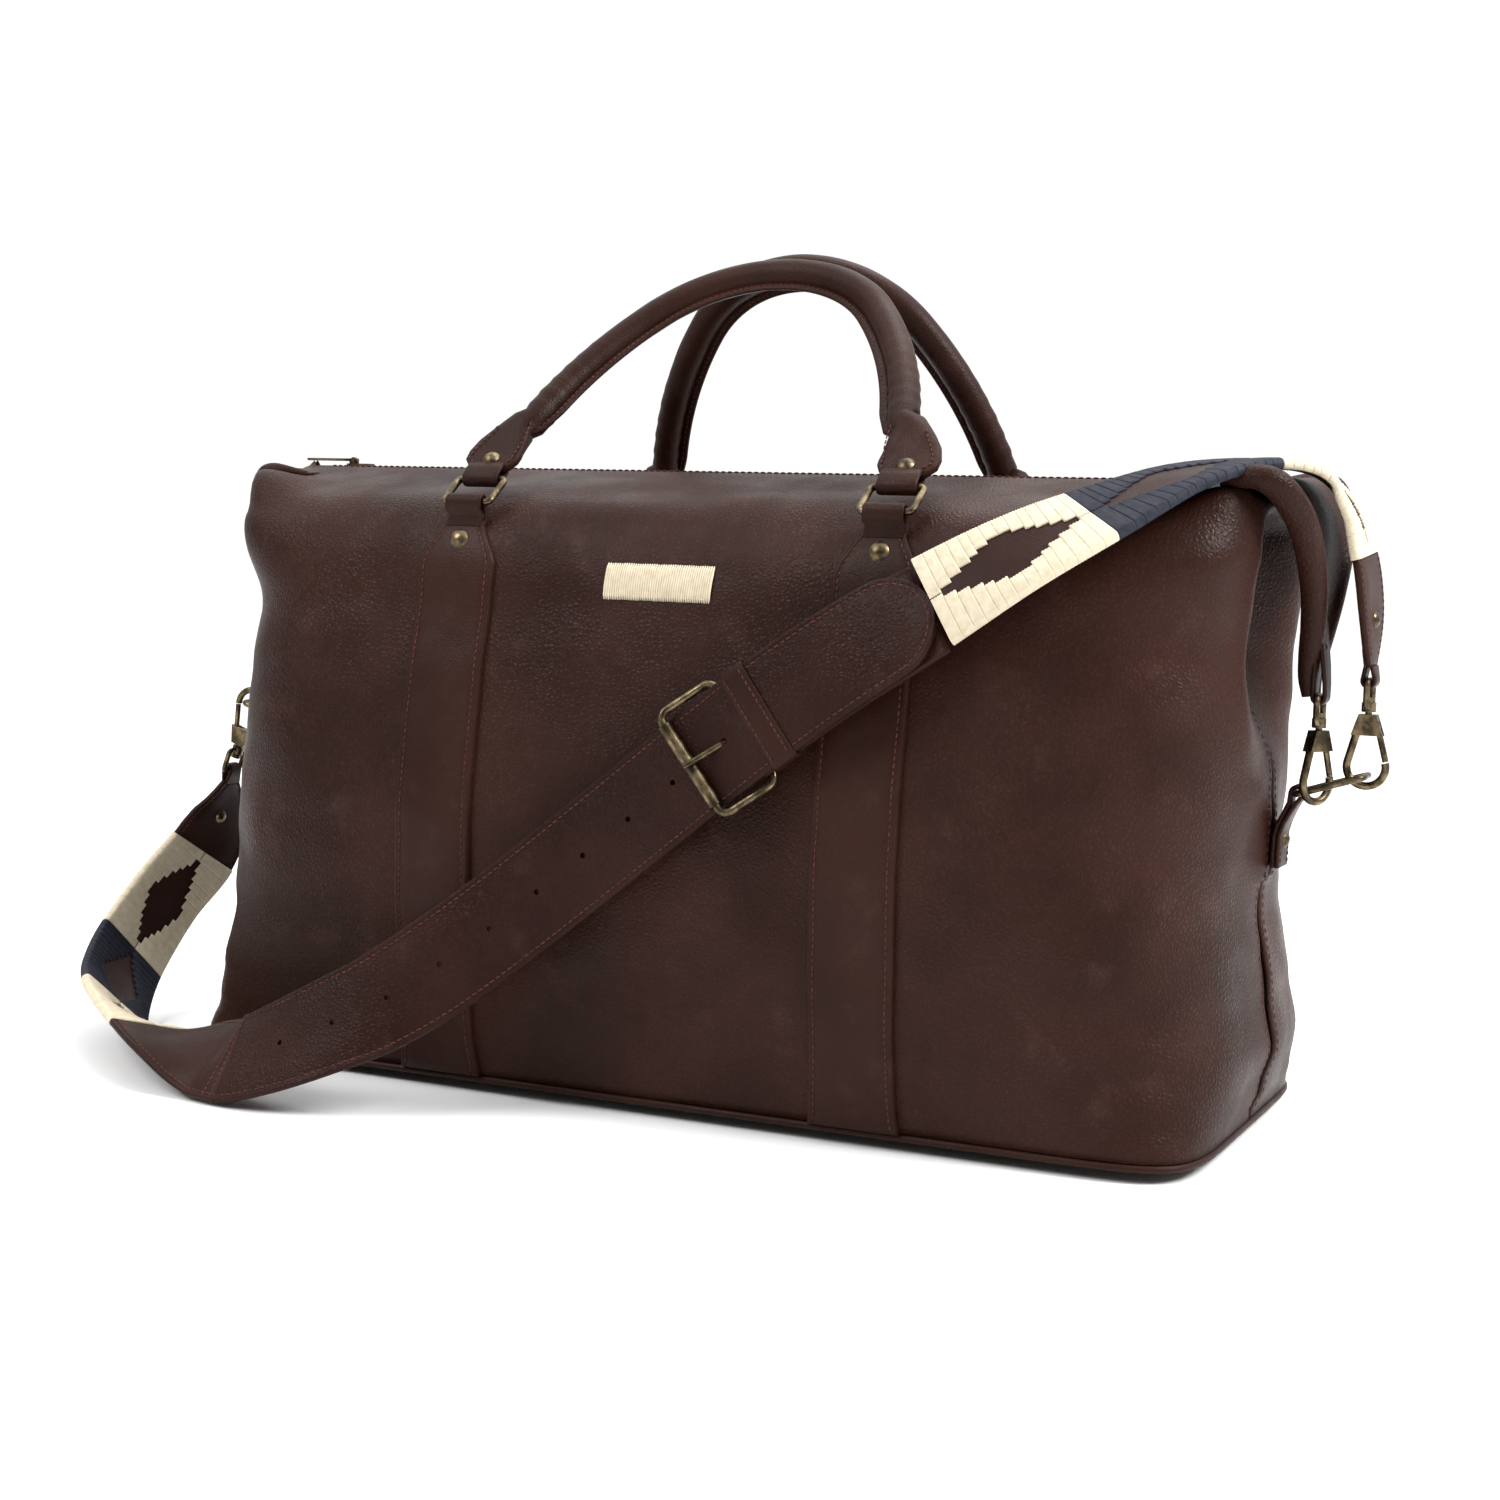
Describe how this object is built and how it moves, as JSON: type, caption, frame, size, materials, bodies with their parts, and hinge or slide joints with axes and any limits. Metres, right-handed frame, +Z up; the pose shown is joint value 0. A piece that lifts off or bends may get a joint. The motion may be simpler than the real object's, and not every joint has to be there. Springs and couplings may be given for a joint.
{
  "type": "weekender bag",
  "caption": "Soft leather weekender bag with two rolled handles, folded end wings and a wide buckled shoulder strap with thread-wrapped sections.",
  "frame": {"origin": "centre of the middle base foot, on the floor", "axes": "+X along the bag to the right, +Y from the front panel to the back panel, +Z up"},
  "size_m": [0.7059, 0.3372, 0.4361],
  "materials": {
    "leather": "pebbled, semi-matt",
    "brass": "antique, satin",
    "cream_thread": "tightly wrapped thread",
    "navy_thread": "tightly wrapped thread",
    "lining_cloth": "twill",
    "zip_tape": "woven",
    "zip_coil": "antique",
    "rope": "twisted",
    "board": "matt"
  },
  "bodies": {
    "root": {"front_panel": "leather", "back_panel": "leather", "front_patch": "cream_thread", "lining": "lining_cloth", "base_panel": "leather", "base_piping": "leather", "base_board": "board", "base_feet": "brass", "zip_tapes": "zip_tape", "zip_coil": "zip_coil", "zip_stops": "brass", "front_strips": "leather", "back_strips": "leather", "strip_rivets": "brass", "right_wing": "leather", "left_wing": "leather", "wing_tabs": "leather", "end_tabs": "leather", "tab_rivets": "brass", "hook_eyes": "brass", "strap_billet": "leather", "strap_anchor": "leather", "strap_keeper": "leather", "buckle_frame": "brass", "woven_cream_1": "cream_thread", "woven_navy_1": "navy_thread", "woven_cream_2": "cream_thread", "woven_cream_3": "cream_thread", "woven_navy_2": "navy_thread", "woven_cream_4": "cream_thread", "strap_lower": "leather", "strap_end_right": "leather", "strap_end_left": "leather"},
    "front_rings": {"front_rings": "brass"},
    "front_handle": {"front_handle_cover": "leather", "front_handle_core": "rope", "front_handle_rivets": "brass"},
    "back_rings": {"back_rings": "brass"},
    "back_handle": {"back_handle_cover": "leather", "back_handle_core": "rope", "back_handle_rivets": "brass"},
    "zip_slider": {"zip_slider": "brass"},
    "zip_puller": {"zip_puller": "brass"},
    "right_link": {"right_link": "brass"},
    "left_link": {"left_link": "brass"},
    "buckle_prong": {"buckle_prong": "brass"},
    "buckle_roller": {"buckle_roller": "brass"},
    "right_wing_hook": {"right_wing_hook_body": "brass", "right_wing_hook_pin": "brass"},
    "right_wing_gate": {"right_wing_hook_gate": "brass"},
    "left_wing_hook": {"left_wing_hook_body": "brass", "left_wing_hook_pin": "brass"},
    "left_wing_gate": {"left_wing_hook_gate": "brass"},
    "right_strap_hook": {"right_strap_hook_body": "brass", "right_strap_hook_pin": "brass"},
    "right_strap_gate": {"right_strap_hook_gate": "brass"},
    "left_strap_hook": {"left_strap_hook_body": "brass", "left_strap_hook_pin": "brass"},
    "left_strap_gate": {"left_strap_hook_gate": "brass"}
  },
  "joints": [
    {"name": "front_rings_swing", "type": "hinge", "parent": "root", "child": "front_rings", "pos_m": [0, -0.0988, 0.2993], "axis": [1, 0, 0], "range_deg": [0, 75]},
    {"name": "front_handle_swing", "type": "hinge", "parent": "front_rings", "child": "front_handle", "pos_m": [0, -0.08309, 0.31101], "axis": [1, 0, 0], "range_deg": [0, 90]},
    {"name": "back_rings_swing", "type": "hinge", "parent": "root", "child": "back_rings", "pos_m": [0, 0.1015, 0.291], "axis": [-1, 0, 0], "range_deg": [0, 10]},
    {"name": "back_handle_swing", "type": "hinge", "parent": "back_rings", "child": "back_handle", "pos_m": [0, 0.11701, 0.27901], "axis": [-1, 0, 0], "range_deg": [0, 165]},
    {"name": "zip_slide", "type": "slide", "parent": "root", "child": "zip_slider", "axis": [1, 0, 0], "range_m": [0, 0.455]},
    {"name": "zip_puller_flip", "type": "hinge", "parent": "zip_slider", "child": "zip_puller", "pos_m": [-0.2504, 0, 0.32135], "axis": [0, 1, 0], "range_deg": [0, 170]},
    {"name": "right_link_swing", "type": "hinge", "parent": "root", "child": "right_link", "pos_m": [0.291, 0.003, 0.17], "axis": [0, -1, 0], "range_deg": [0, 5]},
    {"name": "left_link_swing", "type": "hinge", "parent": "root", "child": "left_link", "pos_m": [-0.291, 0.003, 0.17], "axis": [0, 1, 0], "range_deg": [0, 5]},
    {"name": "right_wing_hook_swivel", "type": "hinge", "parent": "root", "child": "right_wing_hook", "pos_m": [0.3006, -0.0047, 0.1652], "axis": [0, 0, 1], "range_deg": [-6, 6]},
    {"name": "left_wing_hook_swivel", "type": "hinge", "parent": "root", "child": "left_wing_hook", "pos_m": [-0.3006, -0.0047, 0.1652], "axis": [0, 0, 1], "range_deg": [-6, 6]},
    {"name": "right_strap_hook_swivel", "type": "hinge", "parent": "root", "child": "right_strap_hook", "pos_m": [0.322, 0.003, 0.1735], "axis": [0, 0, 1], "range_deg": [-8, 8]},
    {"name": "left_strap_hook_swivel", "type": "hinge", "parent": "root", "child": "left_strap_hook", "pos_m": [-0.3191, 0.003, 0.1879], "axis": [-0.3486, 0, -0.9373], "range_deg": [-8, 8]},
    {"name": "right_wing_gate", "type": "hinge", "parent": "right_wing_hook", "child": "right_wing_gate", "pos_m": [0.3024, -0.00158, 0.1952], "axis": [-0.866, 0.5, 0], "range_deg": [0, 15], "stiffness_Nm_per_rad": 0.02, "springref_deg": -14.9},
    {"name": "left_wing_gate", "type": "hinge", "parent": "left_wing_hook", "child": "left_wing_gate", "pos_m": [-0.3024, -0.00158, 0.1952], "axis": [-0.866, -0.5, 0], "range_deg": [0, 15], "stiffness_Nm_per_rad": 0.02, "springref_deg": -14.9},
    {"name": "right_strap_gate", "type": "hinge", "parent": "right_strap_hook", "child": "right_strap_gate", "pos_m": [0.3256, 0.003, 0.2035], "axis": [0, 1, 0], "range_deg": [0, 15], "stiffness_Nm_per_rad": 0.02, "springref_deg": -14.9},
    {"name": "left_strap_gate", "type": "hinge", "parent": "left_strap_hook", "child": "left_strap_gate", "pos_m": [-0.33293, 0.003, 0.16104], "axis": [0, 1, 0], "range_deg": [0, 15], "stiffness_Nm_per_rad": 0.02, "springref_deg": -14.9},
    {"name": "buckle_prong_lift", "type": "hinge", "parent": "root", "child": "buckle_prong", "pos_m": [0.05889, -0.1294, 0.19539], "axis": [-0.6289, 0.0397, 0.7765], "range_deg": [0, 12]},
    {"name": "buckle_roller_spin", "type": "hinge", "parent": "root", "child": "buckle_roller", "pos_m": [0.03689, -0.14159, 0.1782], "axis": [-0.6289, 0.0397, 0.7765], "continuous": true}
  ]
}
